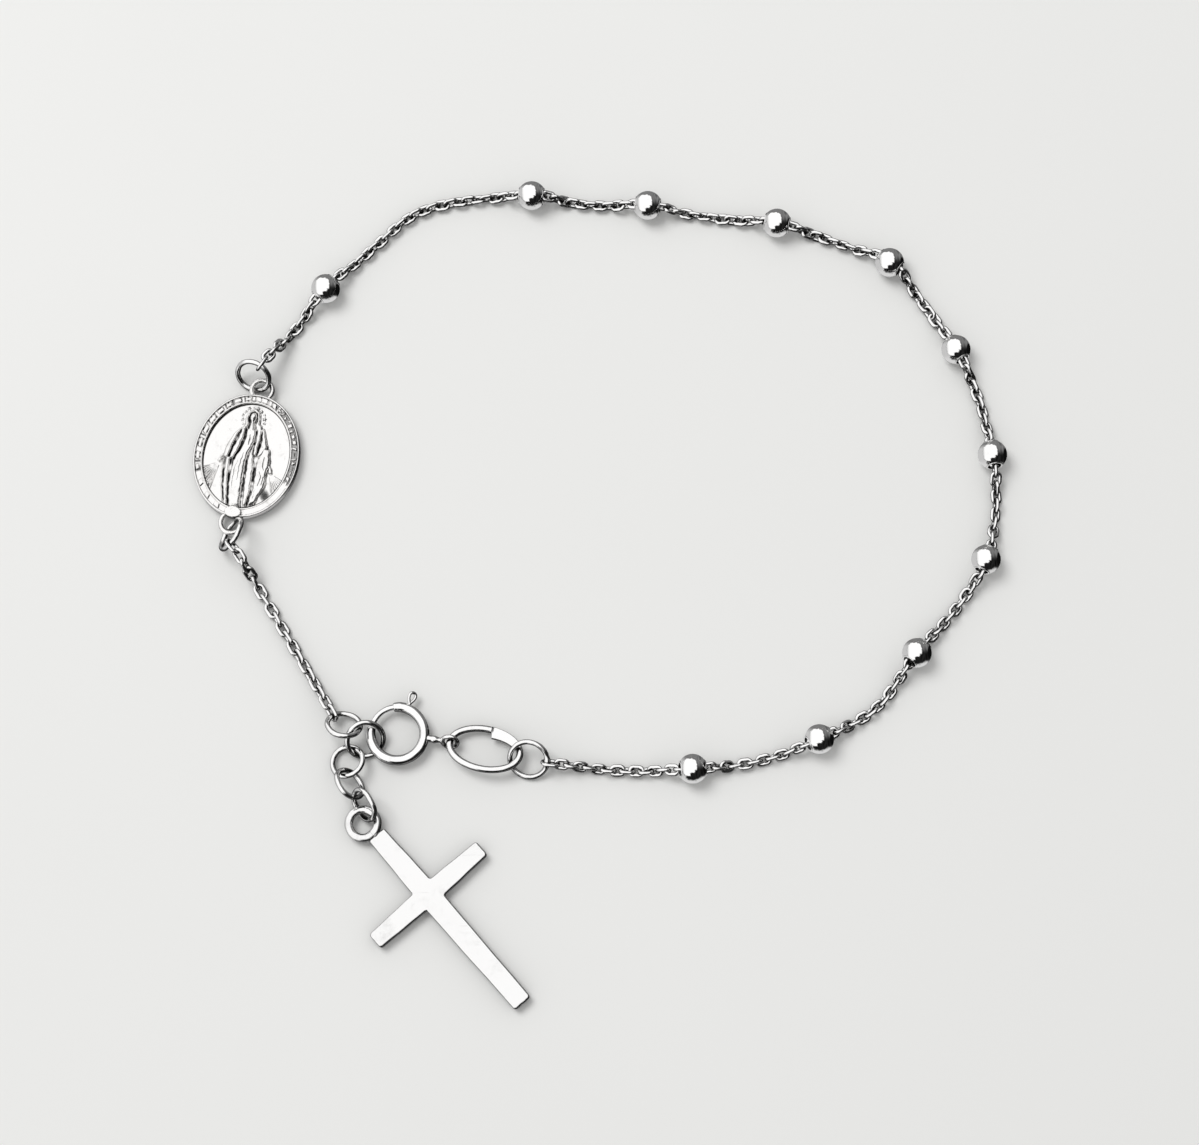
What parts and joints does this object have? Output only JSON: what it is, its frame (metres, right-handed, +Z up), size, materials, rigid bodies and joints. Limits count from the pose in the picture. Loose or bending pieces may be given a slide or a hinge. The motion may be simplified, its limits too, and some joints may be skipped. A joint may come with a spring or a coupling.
{
  "type": "rosary bracelet",
  "caption": "Fine silver chain bracelet strung with round beads, with an oval medal, a spring ring clasp and a small tapered cross on a short drop of rings.",
  "frame": {"origin": "on the surface the bracelet lies on, below the centre of its bounding box", "axes": "+Z up out of that surface, +Y from the cross towards the far side of the loop, +X from the medal towards the opposite beads"},
  "size_m": [0.0702, 0.0719, 0.003],
  "materials": {
    "bead_silver": "mirror-polished silver with fine scratches",
    "chain_silver": "polished silver links, darker in the joints",
    "ring_silver": "polished silver wire",
    "clasp_silver": "polished silver with fine wear",
    "tag_silver": "polished silver with fine wear",
    "medal_silver": "cast silver, bright on the relief and dark in the recesses",
    "cross_silver": "satin-polished silver with light scratches"
  },
  "bodies": {
    "bracelet": {"bead_01": "bead_silver", "bead_02": "bead_silver", "bead_03": "bead_silver", "bead_04": "bead_silver", "bead_05": "bead_silver", "bead_06": "bead_silver", "bead_07": "bead_silver", "bead_08": "bead_silver", "bead_09": "bead_silver", "bead_10": "bead_silver", "bead_11": "bead_silver", "beaded_chain": "chain_silver", "chain_end_ring": "ring_silver", "chain_start_ring": "ring_silver", "clasp_body": "clasp_silver", "connector_ring": "ring_silver", "cross": "cross_silver", "drop_ring_1": "ring_silver", "drop_ring_2": "ring_silver", "drop_ring_3": "ring_silver", "medal": "medal_silver", "medal_bottom_ring": "ring_silver", "medal_top_ring": "ring_silver", "plain_chain": "chain_silver", "tag_link": "tag_silver"},
    "trigger": {"clasp_trigger": "clasp_silver"}
  },
  "joints": [
    {"name": "clasp_trigger_slide_round", "type": "hinge", "parent": "bracelet", "child": "trigger", "pos_m": [-0.0171, -0.0129, 0.00096], "axis": [0, 0, 1], "range_deg": [-55, 0], "stiffness_Nm_per_rad": 0.001, "springref_deg": 17.19}
  ]
}
